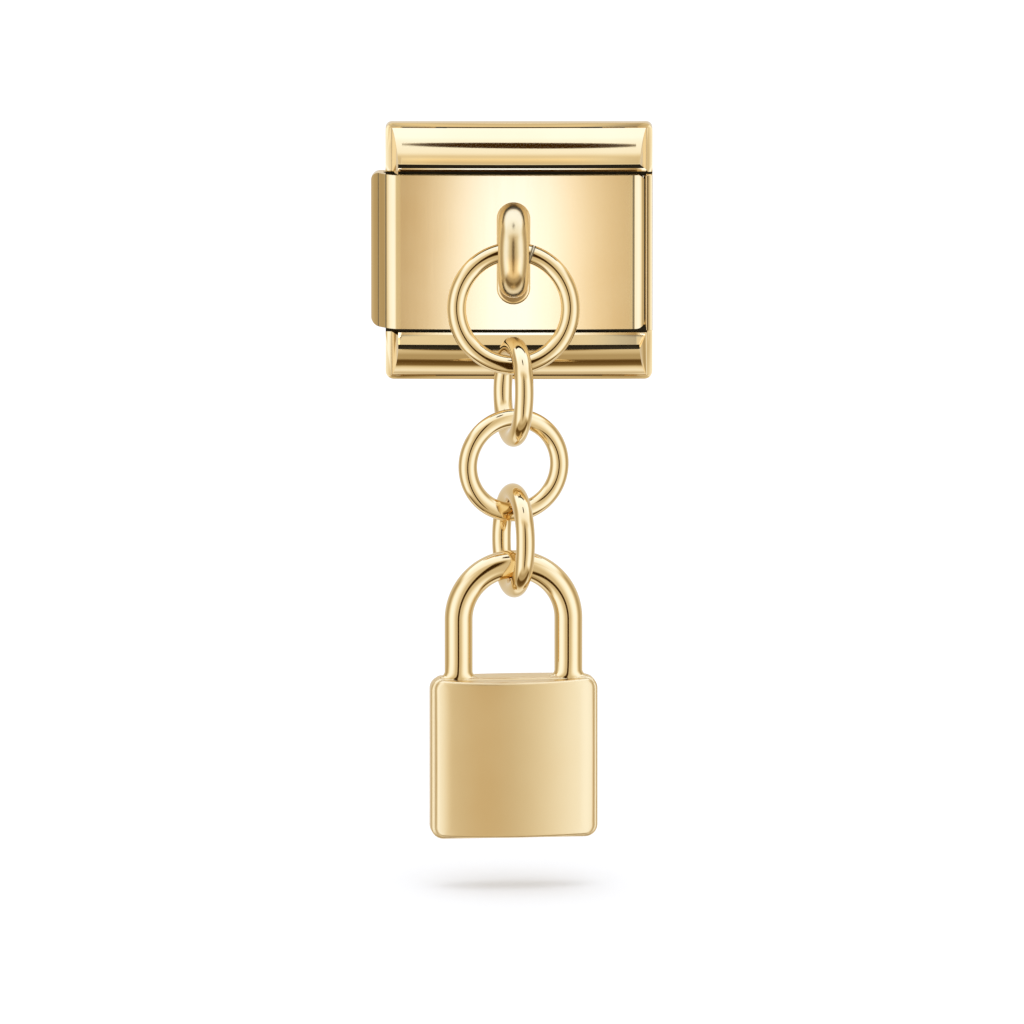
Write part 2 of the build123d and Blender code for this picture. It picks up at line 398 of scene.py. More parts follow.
# the link: rail case, face plate and back bracket
link = {
    "depth": 2.4,
    "caseLeft": 4.571,
    "caseRight": 4.964,
    "caseReach": 4.62,
    "caseSheet": 0.35,
    "caseCorner": 0.3,
    "railInner": {1: 3.285, -1: 3.38},  # the upper and the lower rail's inner wall
    "padReach": 3.32,
    "railCrease": 4.48,
    "creaseDrop": 1.1,
    "sideDrop": 1.16,
    "crownRadius": 1.95,
    "ledgeFold": {1: 2.985, -1: 3.03},
    "ledgeLean": -12.0,
    "endInset": 0.46,
    "endCreaseInset": 0.22,
    "creaseGroove": 0.03,
    "gussetInner": 2.86,
    "gussetX": 4.8,
    "tabInner": 2.9,
    "tabX": 4.12,
    "cornerLean": 14.0,
    "seatGroove": {1: 2.87, -1: 2.945},  # the outer edge of the grooves beside the plate
    "seatDepth": 0.18,
    "backRound": 0.7,
    "plateReach": 2.8,
    "plateFoot": 2.745,  # the plate's lower edge
    "plateRecess": 0.75,
    "plateCrown": 0.14,
    "plateSheet": 0.43,
    "plateSeat": 0.02,
    "plateLeft": 5.089,
    "plateRight": 4.696,
    "plateCorner": 0.3,
    "bendRadius": 0.91,
    "folds": [  # lines across the bends, from left to right, as x and y
        (-5.089, -0.64), (-4.829, -1.03), (-4.564, -1.38), (-4.179, -1.65),
        (4.286, -1.65), (4.62, -1.472), (4.696, -1.24),
    ],
    "foldTurns": [5.0, 3.0, 12.0, 16.0, 24.0],  # half of the turn of the arc between two lines
    "foldSeam": 0.07,
    "seams": (1, 2, 4),  # the folds whose fine groove gets a strip of painted shade
    "hookRadius": 0.48,
    "hookEnd": 3.85,
    "curlRadius": 0.41,
    "curlEnd": 0.36,
    "webInset": 0.15,
    "bracketSheet": 0.23,
    "bracketPlay": 0.04,
    "bracketLeft": 3.7,
    "bracketStep": 0.25,
    "lipGap": 0.036,
    "lipDrop": (0.015, 0.052),  # how far the lip's front edges lie behind the plate's face
    "lipTurn": 21.0,
    "edge": 0.035,
    "beyond": 0.1,  # how far a shape runs on past the one that cuts it
    "clear": 0.002,
    "gussetFront": 0.06,
    "crownFade": (0.1, 0.3),  # where the crown fades out, before the web's back and front
    "curlShade": 4.655,  # from here outwards the plate's curl lies in a gap and gets painted shade
    "near": 0.03,
}
crownY = -link["depth"]
faceY = crownY + link["plateRecess"]
plateBackY = faceY + link["plateSheet"]
webFrontY = plateBackY + link["plateSeat"]
webBackY = webFrontY + link["caseSheet"]
bendX = link["bendRadius"] - link["plateLeft"]
curlX = link["plateRight"] - link["curlRadius"]


def foldArc(start, end, halfTurn, count):
    # one arc of the bends, given by half the angle that it turns
    radius = math.dist(start, end) / 2 / math.sin(math.radians(halfTurn))
    return arc(start, end, -radius, count)


def withGrooves(arcs, width, depth, plain=()):
    # joins arcs end to end with a fine groove at each joint but the plain ones; a depth above
    # zero is cut to the left of the way
    outline = list(arcs[0])
    for place, points in enumerate(arcs[1:], 1):
        if place in plain:
            outline += points[1:]
            continue
        (ax, ay), (bx, by) = outline[-2], points[1]
        length = math.dist((ax, ay), (bx, by))
        tx, ty = (bx - ax) / length, (by - ay) / length
        x, y = points[0]
        outline[-1] = (x - tx * width / 2, y - ty * width / 2)
        outline.append((x - ty * depth, y + tx * depth))
        outline.append((x + tx * width / 2, y + ty * width / 2))
        outline += points[1:]
    return outline


def railOutline(side):
    sheet, reach, back = link["caseSheet"], link["caseReach"], link["backRound"]
    inner, crease = link["railInner"][side], (crownY + link["creaseDrop"], link["railCrease"])
    fold, groove = link["ledgeFold"][side], link["seatGroove"][side]
    corner = webFrontY + (inner - fold) * math.tan(math.radians(link["ledgeLean"]))
    start, floor = link["plateReach"] - link["beyond"], webFrontY + link["seatDepth"]
    outline = [(webBackY, start), (floor, start), (floor, groove), (webFrontY, groove)]
    outline += [(webFrontY, fold), (corner, inner)]
    crown = arc((crownY, inner), crease, link["crownRadius"], 28)
    slope = [crease, (crownY + link["sideDrop"], reach)]
    outline += withGrooves([crown, slope], link["creaseGroove"], -link["creaseGroove"])
    outline += arc((-back, reach), (0, reach - back), back, 12)
    outline += [(0, link["padReach"]), (-sheet, link["padReach"])]
    outline += arc((-sheet, reach - back), (-back, reach - sheet), -(back - sheet), 8)
    outline += [(webBackY, reach - sheet)]
    return outline


def casePlan():
    left, right = link["caseLeft"], link["caseRight"]
    creaseY, sideY = crownY + link["creaseDrop"], crownY + link["sideDrop"]
    lean = (link["endInset"] - link["endCreaseInset"]) / link["creaseDrop"]
    far = link["endInset"] + lean * link["depth"]
    shift = link["endCreaseInset"]
    out = 2 * link["beyond"]
    half = [(right + out, 0.05), (right + out, sideY), (right, sideY), (right - shift, creaseY)]
    half.append((right - far, 2 * crownY))
    other = [(far - left, 2 * crownY), (shift - left, creaseY), (-left, sideY)]
    return half + other + [(-left - out, sideY), (-left - out, 0.05)]


def frontCrown(mesh, fromY, toY):
    # the link follows the wrist a little: its front falls away towards both ends
    middle = (bendX + curlX) / 2
    half = (curlX - bendX) / 2
    for vertex in mesh.vertices:
        x, y = vertex.co.x / mm, vertex.co.y / mm
        share = min(max((fromY - y) / (fromY - toY), 0.0), 1.0)
        vertex.co.y += share * link["plateCrown"] * ((x - middle) / half) ** 2 * mm
    return mesh


def cornerShapes(side):
    # the pieces that close the channels' ends, their fronts leaning back towards the ends
    left, right = link["caseLeft"], link["caseRight"]
    wall = side * link["railInner"][side]
    over = wall + side * link["beyond"]
    start, inner, tab = right - link["endInset"], side * link["gussetInner"], side * link["tabInner"]
    gusset = [(start, over), (start, wall), (link["gussetX"], inner), (right, inner), (right, over)]
    plain = [(-left, over), (-left, tab), (-link["tabX"], tab), (-link["tabX"], over)]
    slope = math.tan(math.radians(link["cornerLean"]))
    shapes = []
    for name, outline in (("gusset", gusset), ("tab", plain)):
        shape = prism(name, outline, crownY + link["gussetFront"], webBackY, alongY)
        edge = min(abs(x) for x, z in outline)
        for vertex in shape.vertices:
            if vertex.co.y < webFrontY * mm:
                vertex.co.y += (abs(vertex.co.x) - edge * mm) * slope
        shapes.append(shape)
    return shapes


def makeRailCase():
    left, right = link["caseLeft"], link["caseRight"]
    lowRing = [(y, -z) for y, z in railOutline(-1)]
    beyond = link["beyond"]
    ends = (-left - beyond, right + beyond)
    case = prism("railCase", railOutline(1), *ends, alongX)
    case = combine(case, prism("lowRail", lowRing, *ends, alongX), "UNION")
    inset, reach = link["webInset"], link["plateReach"] - beyond
    web = block("web", (bendX + inset, curlX - inset), (webFrontY, webBackY), (-reach, reach))
    case = combine(case, web, "UNION")
    for side in (1, -1):
        for shape in cornerShapes(side):
            case = combine(case, shape, "UNION")
    case = combine(case, prism("plan", casePlan(), -5.0, 5.0, alongZ), "INTERSECT")
    reach = link["caseReach"] + link["clear"]
    ring = roundedRing(-left, right, -reach, reach, link["caseCorner"])
    case = combine(case, prism("front", ring, -3.0, 1.0, alongY), "INTERSECT")
    steps = 24
    cuts = [-left + (left + right) * (step + 0.5) / steps for step in range(steps)]
    fadeFrom, fadeTo = link["crownFade"]
    case = frontCrown(sliceAcross(case, cuts), webBackY - fadeFrom, webFrontY - fadeTo)
    return finishEdges("railCase", case, link["edge"], 28)


def plateOutline():
    sheet, left, right = link["plateSheet"], link["plateLeft"], link["plateRight"]
    bend, hook = link["bendRadius"], link["hookRadius"]
    bendY = faceY + bend
    turnY = bendY + hook
    legX = right - sheet
    crown = link["plateCrown"]
    half = (curlX - bendX) / 2
    crownRound = (half**2 + crown**2) / (2 * crown)
    innerHalf = (legX - bendX) / 2
    innerRound = (innerHalf**2 + crown**2) / (2 * crown)
    folds, turns = link["folds"], link["foldTurns"]
    front = [foldArc(folds[i], folds[i + 1], turns[i], 6) for i in range(3)]
    front.append(arc(folds[3], folds[4], -crownRound, 48))
    front += [foldArc(folds[i], folds[i + 1], turns[i - 1], 6) for i in (4, 5)]
    outline = [(-link["hookEnd"], turnY)]
    outline += arc((hook - left, turnY), folds[0], 0.06 - hook, 12)
    outline += withGrooves(front[:5], link["foldSeam"], 0.006, plain=(3,)) + front[5][1:]
    outline += [(right, -link["curlEnd"]), (legX, -link["curlEnd"]), (legX, plateBackY)]
    outline += arc((legX, plateBackY), (bendX, plateBackY), innerRound, 24)[1:]
    outline += arc((bendX, plateBackY), (sheet - left, bendY), bend - sheet, 12)[1:]
    outline += arc((sheet - left, bendY), (hook - left, turnY - sheet), hook - sheet, 4)[1:]
    outline += [(-link["hookEnd"], turnY - sheet)]
    return outline


# the loop that is soldered on the plate, on its flat foot
loop = {
    "outer": 1.68,
    "hole": 0.385,
    "width": 1.1,
    "fullness": 2.2,
    "around": 160,
    "across": 64,
    "footWidth": 1.2,
    "footLength": 3.66,
    "footHeight": 0.02,
    "footStand": 0.3,
    "footRound": 0.12,
}
hinge = next(joint for joint in frame["joints"] if joint["name"] == "drop_swing")
hingeY = hinge["pos_m"][1] / mm
loopZ = hinge["pos_m"][2] / mm + 0.03


def loopSection(angle):
    # half width and radius of the loop's section at an angle round it
    middle = (loop["outer"] + loop["hole"]) / 2
    half = (loop["outer"] - loop["hole"]) / 2
    power = 2 / loop["fullness"]
    across = math.copysign(abs(math.cos(angle)) ** power, math.cos(angle))
    out = math.copysign(abs(math.sin(angle)) ** power, math.sin(angle))
    return loop["width"] / 2 * across, middle + half * out


def makeLoop():
    rows = []
    for step in range(loop["around"]):
        turn = 2 * math.pi * step / loop["around"]
        row = []
        for part in range(loop["across"]):
            x, radius = loopSection(2 * math.pi * part / loop["across"])
            row.append((x, hingeY + radius * math.sin(turn), loopZ + radius * math.cos(turn)))
        rows.append(row)
    return rowsToMesh("loop", rows, closed=True)


def makeFoot():
    # a flat slab with round ends and a rounded front edge
    radius, front = loop["footWidth"] / 2, faceY - link["plateCrown"] - loop["footStand"]
    straight, rim = loop["footLength"] / 2 - radius, loop["footRound"]
    levels = [(0.0, plateBackY - link["plateCrown"] - front - 0.1)]
    for step in range(9):
        angle = math.pi / 2 * step / 8
        levels.append((rim * (1 - math.cos(angle)), rim * (1 - math.sin(angle))))
    rows = []
    for inset, depth in levels:
        row = []
        for step in range(48):
            angle = math.pi * (2 * step + 1) / 48
            shift = math.copysign(straight, math.sin(angle)) + loop["footHeight"]
            reach = radius - inset
            row.append((reach * math.cos(angle), front + depth, shift + reach * math.sin(angle)))
        rows.append(row)
    return rowsToMesh("foot", rows)


def makeFacePlate():
    left, right = link["plateLeft"] + link["clear"], link["plateRight"] + link["clear"]
    low, high, beyond = -link["plateFoot"], link["plateReach"], link["beyond"]
    plate = prism("facePlate", plateOutline(), low - beyond, high + beyond, alongZ)
    ring = roundedRing(-left, right, low, high, link["plateCorner"])
    plate = combine(plate, prism("front", ring, -4.0, 1.0, alongY), "INTERSECT")
    plate = finishEdges("facePlate", plate, 0.05, 40)
    middle = faceY - link["plateCrown"] + link["plateSheet"] / 2
    behind = block("behind", (-1, 1), (middle, 0), (loopZ - 3, loopZ + 3))
    ring = combine(makeLoop(), behind, "DIFFERENCE")
    ring = finishEdges("solderedLoop", combine(ring, makeFoot(), "UNION"), 0.02, 180, fine=24)
    return plate, ring


def makeBackBracket():
    play, sheet, step = link["bracketPlay"], link["bracketSheet"], link["bracketStep"]
    lipX = link["plateRight"] + link["lipGap"]
    pad = link["padReach"] - play
    wing = link["caseReach"] - link["backRound"]
    frontY = -link["caseSheet"] - play - sheet
    outline = [
        (0, -pad), (frontY + sheet, -pad), (frontY + sheet, -wing), (frontY, -wing),
        (frontY, step - pad), (-sheet, step - pad), (-sheet, pad - step), (frontY, pad - step),
        (frontY, wing), (frontY + sheet, wing), (frontY + sheet, pad), (0, pad),
    ]
    bracket = prism("backBracket", outline, -link["bracketLeft"], lipX, alongX)
    reach = link["plateReach"]
    side = link["caseRight"]
    heelReach = link["padReach"]  # the heel fills the gap, so that no light shows through
    heel = block("heel", (lipX - 2 * link["beyond"], side), (-sheet, 0), (-heelReach, heelReach))
    bracket = combine(bracket, heel, "UNION")
    inner, outer = (faceY + drop for drop in link["lipDrop"])
    front = foldArc((lipX, inner), (side, outer), link["lipTurn"], 10)
    lip = prism("lip", [(lipX, 0)] + front + [(side, 0)], -reach, reach, alongZ)
    return finishEdges("backBracket", combine(bracket, lip, "UNION"), 0.03, 40)


# the jump rings, all from one geometry tree
wireRadius = 0.335
ringSteps = {"around": 224, "wire": 56}
# the last value is how far the painted shade beside a cut reaches
cutRounding = {"reach": 0.15, "share": 0.6, "shadeReach": 0.07}
rings = {
    "drop_ring": {"name": "dropRing", "lean": 10.3, "gap": 0.012, "gapAt": 18.4},
    "upper_connector": {"name": "upperConnector", "yaw": -76.6, "roll": 2.0},
    "middle_ring": {"name": "middleRing", "yaw": 16.0},
    "lower_connector": {"name": "lowerConnector", "yaw": -75.5, "roll": 1.4},
}


def treeSocket(tree, name, kind, inOut="INPUT"):
    return tree.interface.new_socket(name=name, in_out=inOut, socket_type=kind)


def ringTree():
    # bends round wire into a ring, closed or with a cut, and turns it into its place
    tree = bpy.data.node_groups.new("jumpRing", "GeometryNodeTree")
    treeSocket(tree, "Geometry", "NodeSocketGeometry", "OUTPUT")
    for name in ("Ring Radius", "Wire Radius", "Cut Width", "Cut Place", "Lean", "Yaw", "Roll"):
        treeSocket(tree, name, "NodeSocketFloat")
    treeSocket(tree, "Centre", "NodeSocketVector")
    treeSocket(tree, "Metal", "NodeSocketMaterial")
    maker = Shader(tree)
    given = maker.add("NodeGroupInput").outputs
    ringRadius = Signal(tree, given["Ring Radius"])
    cut = Signal(tree, given["Cut Width"]) / ringRadius
    shape = {"Resolution": ringSteps["around"], "Radius": given["Ring Radius"]}
    closed = maker.add("GeometryNodeCurvePrimitiveCircle", {"mode": "RADIUS"}, shape)
    shape["Start Angle"] = math.pi / 2 - Signal(tree, given["Cut Place"]) + cut * 0.5
    shape["Sweep Angle"] = 2 * math.pi - cut
    opened = maker.add("GeometryNodeCurveArc", {"mode": "RADIUS"}, shape)
    isCut = maker.add("FunctionNodeCompare", {"operation": "GREATER_THAN"}, {"A": cut, "B": 0.0001})
    path = maker.add(
        "GeometryNodeSwitch",
        {"input_type": "GEOMETRY"},
        {"Switch": isCut, "False": closed, "True": opened},
    )
    # the wire's ends are rounded off where it is cut
    gone = maker.value(maker.add("GeometryNodeSplineParameter"), "Length")
    length = maker.value(maker.add("GeometryNodeSplineLength"), "Length")
    near = gone.atMost(length - gone) / (cutRounding["reach"] * mm)
    missing = (1 - near).atLeast(0.0)
    slim = 1 - missing * missing * cutRounding["share"] * maker.value(isCut)
    rounded = maker.add("GeometryNodeSetCurveRadius", values={"Curve": path, "Radius": slim})
    wire = maker.add(
        "GeometryNodeCurvePrimitiveCircle",
        {"mode": "RADIUS"},
        {"Resolution": ringSteps["wire"], "Radius": given["Wire Radius"]},
    )
    tube = maker.add(
        "GeometryNodeCurveToMesh", values={"Curve": rounded, "Profile Curve": wire, "Fill Caps": True}
    )
    shaded = maker.add("GeometryNodeSetShadeSmooth", values={"Geometry": tube})
    upright = math.pi / 2 - Signal(tree, given["Lean"])
    turned = maker.add("ShaderNodeCombineXYZ", values={"X": upright, "Z": given["Yaw"]})
    rolled = maker.add("ShaderNodeCombineXYZ", values={"Y": given["Roll"]})
    stood = maker.add("GeometryNodeTransform", values={"Geometry": shaded, "Rotation": turned})
    placed = maker.add(
        "GeometryNodeTransform",
        values={"Geometry": stood, "Rotation": rolled, "Translation": given["Centre"]},
    )
    whole = maker.add("GeometryNodeRealizeInstances", values={"Geometry": placed})
    metal = maker.add("GeometryNodeSetMaterial", values={"Geometry": whole, "Material": given["Metal"]})
    maker.add("NodeGroupOutput", values={"Geometry": metal})
    return tree


def grow(name, tree, values):
    # runs a geometry tree once and keeps its result as a plain mesh
    holder = addObject(name + "Maker", bpy.data.meshes.new(name + "Maker"))
    change = holder.modifiers.new("grow", "NODES")
    change.node_group = tree
    for item in tree.interface.items_tree:
        if item.in_out == "INPUT" and item.name in values:
            change[item.identifier] = values[item.name]
    mesh = baked(holder)
    holder.modifiers.remove(change)
    bpy.data.objects.remove(holder)
    mesh.name = name
    return mesh


def makeRings():
    tree = ringTree()
    made = {}
    for node, look in rings.items():
        low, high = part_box(node)
        across = max(high.x - low.x, high.z - low.z)
        values = {
            "Ring Radius": across / 2 - wireRadius * mm,
            "Wire Radius": wireRadius * mm,
            "Cut Width": look.get("gap", 0.0) * mm,
            "Centre": (low + high) / 2,
            "Metal": polishedGold,
        }
        for socket, key in (("Cut Place", "gapAt"), ("Lean", "lean"), ("Yaw", "yaw"), ("Roll", "roll")):
            values[socket] = math.radians(look.get(key, 0.0))
        made[node] = cleaned(grow(look["name"], tree, values))
    return made


# the padlock
lock = {
    "width": 5.98,
    "height": 5.82,
    "corner": 0.45,
    "belt": 0.8,
    "beltRound": 0.15,
    "inset": 0.12,
    "thick": 2.4,
    "dome": 9.0,
    "endFall": 0.1,  # how far the pillow falls away towards its top and bottom
    "rollStart": 2.3,  # from here outwards it rolls off to the sides
    "roll": 0.13,
    "rimRound": 0.12,
    "topRise": 0.06,
    "cornerRise": 0.04,  # how far the pillow's upper corners reach up beyond its upper edge
    "yaw": 6.0,
    "wire": 1.0,
    "archRadius": 1.97,
    "leg": 2.07,
    "flare": 0.2,
    "around": 64,
    "footDepth": 0.38,  # half the legs' thickness where they stand on the body
    "footReach": 0.7,  # how far up the legs thin out towards their feet
    "beltEdge": 0.04,
}
swing = next(joint for joint in frame["joints"] if joint["name"] == "padlock_swing")
chainY = swing["pos_m"][1] / mm
archZ = swing["pos_m"][2] / mm - lock["archRadius"]
bodyTop = archZ - lock["leg"]
bodyMiddle = bodyTop - lock["height"] / 2


def lockOutline(inset, count=14, sides=24):
    # a rounded square with evenly cut sides, as (x, z) about the body's middle
    x, z = lock["width"] / 2 - inset, lock["height"] / 2 - inset
    radius = max(lock["corner"] - inset, 0.02)
    corners = [(1, 1), (-1, 1), (-1, -1), (1, -1)]

    def onCorner(quarter, share):
        sx, sz = corners[quarter % 4]
        angle = math.radians(90 * (quarter + share))
        px, pz = sx * (x - radius), sz * (z - radius)
        return (px + radius * math.cos(angle), pz + radius * math.sin(angle))

    ring = []
    for quarter in range(4):
        ring += [onCorner(quarter, step / count) for step in range(count + 1)]
        (ax, az), (bx, bz) = ring[-1], onCorner(quarter + 1, 0)
        for step in range(1, sides):
            share = step / sides
            ring.append((ax + (bx - ax) * share, az + (bz - az) * share))
    return ring


def domeDepth(x, z):
    # half the body's thickness under the pillow faces
    reach = lock["dome"] - lock["thick"] / 2
    start = lock["rollStart"]
    roll = max(0.0, (abs(x) - start) / (lock["width"] / 2 - start)) ** 2 * lock["roll"]
    fall = lock["endFall"] * (z / lock["height"] * 2) ** 2
    return math.sqrt(lock["dome"] ** 2 - x**2) - reach - roll - fall


def lockHalf():
    # rings from the belt's middle to the middle of the front face, as (x, z, depth)
    rows = []
    base = lock["belt"] / 2
    flat = base - lock["beltRound"]
    for depth in (0.0, flat):
        rows.append([(x, z, depth) for x, z in lockOutline(0.0)])
    for step in range(1, 9):
        angle = math.pi / 2 * step / 8
        inset = lock["beltRound"] * (1 - math.cos(angle))
        depth = flat + lock["beltRound"] * math.sin(angle)
        rows.append([(x, z, depth) for x, z in lockOutline(min(inset, lock["inset"]))])
    beltRows = len(rows)
    rim, inner = lockOutline(lock["inset"] + 0.001), lockOutline(lock["inset"] + lock["rimRound"])
    rounds = [min(lock["rimRound"], 0.9 * (domeDepth(x, z) - base)) for x, z in rim]
    for share in (0.3, 0.7):
        rows.append(
            [
                (x, z, base + (domeDepth(x, z) - size - base) * share)
                for (x, z), size in zip(rim, rounds)
            ]
        )
    for step in range(9):
        angle = math.pi / 2 * step / 8
        row = []
        for (ax, az), (bx, bz), size in zip(rim, inner, rounds):
            share = size / lock["rimRound"] * (1 - math.cos(angle))
            x, z = ax + (bx - ax) * share, az + (bz - az) * share
            row.append((x, z, domeDepth(x, z) - size * (1 - math.sin(angle))))
        rows.append(row)
    border = [(x, z) for x, z, depth in rows[-1]]  # from here the rings shrink to the middle
    for step in range(1, 40):
        scale = 1 - step / 40
        rows.append([(x * scale, z * scale, domeDepth(x * scale, z * scale)) for x, z in border])
    high, wide = lock["height"] / 2, lock["width"] / 2
    raised = rows[:beltRows]
    for row in rows[beltRows:]:
        rises = [lock["topRise"] + lock["cornerRise"] * (x / wide) ** 2 for x, z, depth in row]
        raised.append(
            [(x, z + rise * max(z / high, 0) ** 2, depth) for (x, z, depth), rise in zip(row, rises)]
        )
    return raised


def makeLockBody():
    rows = lockHalf()
    count = len(rows[0])
    points = [(x, chainY + depth, bodyMiddle + z) for row in reversed(rows[1:]) for x, z, depth in row]
    points += [(x, chainY - depth, bodyMiddle + z) for row in rows for x, z, depth in row]
    total = 2 * len(rows) - 1
    faces = skin(total, count)
    backPole, frontPole = len(points), len(points) + 1
    points += [(0, chainY + lock["thick"] / 2, bodyMiddle), (0, chainY - lock["thick"] / 2, bodyMiddle)]
    last = (total - 1) * count
    for j in range(count):
        m = (j + 1) % count
        faces.append((m, j, backPole))
        faces.append((last + j, last + m, frontPole))
    return cleaned(meshFrom("lockBody", points, faces), skinWeld)


def makeShackle():
    wire, radius, flare = lock["wire"] / 2, lock["archRadius"], lock["flare"]
    low = bodyTop - 1.2 * lock["inset"]
    path = []  # the left leg from its foot, the arch and the right leg, as x, z and turn
    for step in range(7):
        path.append((-radius, low + (bodyTop - low) * step / 6, 0.0))
    for step in range(1, 15):
        path.append((-radius, bodyTop + flare * step / 14, 0.0))
    for step in range(1, 20):
        path.append((-radius, bodyTop + flare + (archZ - bodyTop - flare) * step / 20, 0.0))
    for step in range(73):
        turn = math.pi * step / 72
        path.append((-radius * math.cos(turn), archZ + radius * math.sin(turn), turn))
    for step in range(len(path) - 74, -1, -1):
        x, z, turn = path[step]
        path.append((-x, z, math.pi))
    around = lock["around"]
    rows = []
    for x, z, turn in path:
        rise = min(max(z - bodyTop, 0.0), flare)
        spread = flare - math.sqrt(max(flare**2 - (flare - rise) ** 2, 0.0))
        size = wire + spread
        taper = min(max((z - bodyTop) / lock["footReach"], 0.0), 1.0)
        depth = lock["footDepth"] + (wire - lock["footDepth"]) * math.sin(math.pi / 2 * taper)
        row = []
        for step in range(around):
            angle = 2 * math.pi * step / around
            out = size * math.cos(angle)
            y = chainY + depth * math.sin(angle)
            row.append((x - out * math.cos(turn), y, z + out * math.sin(turn)))
        rows.append(row)
    return rowsToMesh("shackle", rows)


def turned(mesh, angle):
    # turns a mesh about the upright line down which the chain hangs
    spot = Vector((0, chainY * mm, 0))
    turn = Matrix.Rotation(math.radians(angle), 4, "Z")
    mesh.transform(Matrix.Translation(spot) @ turn @ Matrix.Translation(-spot))
    return mesh


def shade(mesh, metals, choose):
    # gives each face the metal that choose names for its middle and its direction
    for polygon in mesh.polygons:
        metal = choose(*(polygon.center / mm), polygon.normal)
        polygon.material_index = metals.index(metal)


lockMetals = [satinLockGold, polishedGold]


def makePadlock():
    body = makeLockBody()
    wide, high = lock["width"] / 2 - lock["inset"], lock["height"] / 2 - lock["inset"]

    def lockMetal(x, y, z, normal):
        rim = max(abs(x) / wide, abs(z - bodyMiddle) / high) > 1.0
        onBelt = rim and abs(y - chainY) < lock["belt"] / 2 + lock["beltEdge"]
        return polishedGold if onBelt else satinLockGold

    shade(body, lockMetals, lockMetal)
    return turned(body, lock["yaw"]), turned(makeShackle(), lock["yaw"])


def addPiece(name, mesh, body, node, materials):
    # dresses a CAD node with a finished piece
    piece = addObject(name, mesh)
    mesh.materials.clear()
    for material in materials:
        mesh.materials.append(material)
    if not mesh.has_custom_normals:
        for polygon in mesh.polygons:
            polygon.use_smooth = True
    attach(piece, body)
    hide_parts(node)
    print(f"stage: {name} made, {len(mesh.polygons)} faces")
    return piece


def railMetal(x, y, z, normal):
    # painted shade on the rails' inner walls, in the creases and grooves and on the upper ledge; the small
    #     numbers are how far a face's middle may lie off
    side = 1 if z > 0 else -1
    inner, near = link["railInner"][side], link["near"]
    wall = abs(normal.z) > 0.9 and abs(abs(z) - inner) < near and crownY + 0.1 < y < webFrontY
    seat = abs(z) < link["seatGroove"][side] + 0.01 and webFrontY + 0.01 < y < webBackY - 0.02
    creaseY = crownY + link["creaseDrop"]
    crease = abs(abs(z) - link["railCrease"]) < near and creaseY + 0.002 < y < creaseY + 0.05
    ledge = link["ledgeFold"][1] < z < inner and abs(y - webFrontY) < 0.12 and normal.y < -0.9
    return paintedShadeGold if wall or seat or crease or ledge else polishedGold


def plateMetal(x, y, z, normal):
    # satin on the flat front and back, painted shade in the seams and on the curl in the gap, and polished
    # on the bends
    folds = link["folds"]
    if x > link["curlShade"]:
        return paintedShadeGold
    if any(math.dist((x, y), folds[i]) < link["foldSeam"] / 2 for i in link["seams"]):
        return seamShadeGold
    return satinPlateGold if folds[3][0] < x < folds[4][0] else polishedGold


def bracketMetal(x, y, z, normal):
    # painted shade on the left end, which lies in the dark of the channels
    return paintedShadeGold if normal.x < -0.7 and y < -link["caseSheet"] - 0.05 else polishedGold


def shadeCut(mesh):
    # paints shade on the wire beside the flat ends of a cut ring
    reach = cutRounding["shadeReach"] * mm
    for end in [polygon for polygon in mesh.polygons if len(polygon.vertices) > 4]:
        for polygon in mesh.polygons:
            away = polygon.center - end.center
            if away.length < 1.2 * wireRadius * mm and abs(away.dot(end.normal)) < reach:
                polygon.material_index = 1


# the pieces on their nodes
caseMetals = [polishedGold, paintedShadeGold]
railCase = addPiece("railCase", makeRailCase(), "link", "rail_case", caseMetals)
shade(railCase.data, caseMetals, railMetal)
plateMetals = [satinPlateGold, polishedGold, paintedShadeGold, seamShadeGold]
plateMesh, loopMesh = makeFacePlate()
facePlate = addPiece("facePlate", plateMesh, "link", "face_plate", plateMetals)
shade(plateMesh, plateMetals, plateMetal)
solderedLoop = addPiece("solderedLoop", loopMesh, "link", "face_plate", [satinLoopGold])
bracketMesh = makeBackBracket()
backBracket = addPiece("backBracket", bracketMesh, "link", "back_bracket", caseMetals)
shade(bracketMesh, caseMetals, bracketMetal)
ringMetals = [polishedGold, seamShadeGold]
for node, mesh in makeRings().items():
    ring = addPiece(rings[node]["name"], mesh, "drop", node, ringMetals)
    shadeCut(mesh)
    ring.visible_glossy = node == "lower_connector"  # the link stays clear of the rings
bodyMesh, shackleMesh = makePadlock()
padlockBody = addPiece("padlockBody", bodyMesh, "lock", "padlock", lockMetals)
addPiece("padlockShackle", shackleMesh, "lock", "padlock", [polishedGold])
for piece in (solderedLoop, backBracket, padlockBody):
    piece.visible_glossy = False  # their mirror images would darken the polished faces


# floor, studio and camera
studio = {
    "floorBelow": 1.75,
    "floorHalf": 1500.0,
    "floorColour": (0.745, 0.755, 0.78),
    "background": 1.3,  # what the camera and the floor see
    "plateLight": {
        "ahead": 28.0, "width": 28.0, "top": 2.0, "bottom": -17.0,
        "level": 1.85, "aside": -0.1, "spread": 0.192, "steep": 2.8,
    },
    "crownLight": {
        "ahead": 28.0, "width": 60.0, "top": 40.0, "bottom": 0.0, "aside": 0.0,
        "level": 0.2, "under": 0.75, "spread": 2.15,
    },
    "lockLight": {"ahead": 30.0, "width": 9.0, "top": -8.0, "bottom": -60.0, "aside": -1.5, "level": 0.44},
    "floorLight": {"level": 0.5, "spread": 50.0},
    "loopLight": {"ahead": 28.0, "width": 80.0, "top": -2.0, "bottom": -60.0, "aside": 0.0, "level": 0.25},
}
camera = {
    "distance": 900.0, "elevation": 9.0, "picture": 1024, "pixelsPerMm": 28.0,
    "centreX": 513.5, "centreY": 253.0, "sensor": 36.0,
}

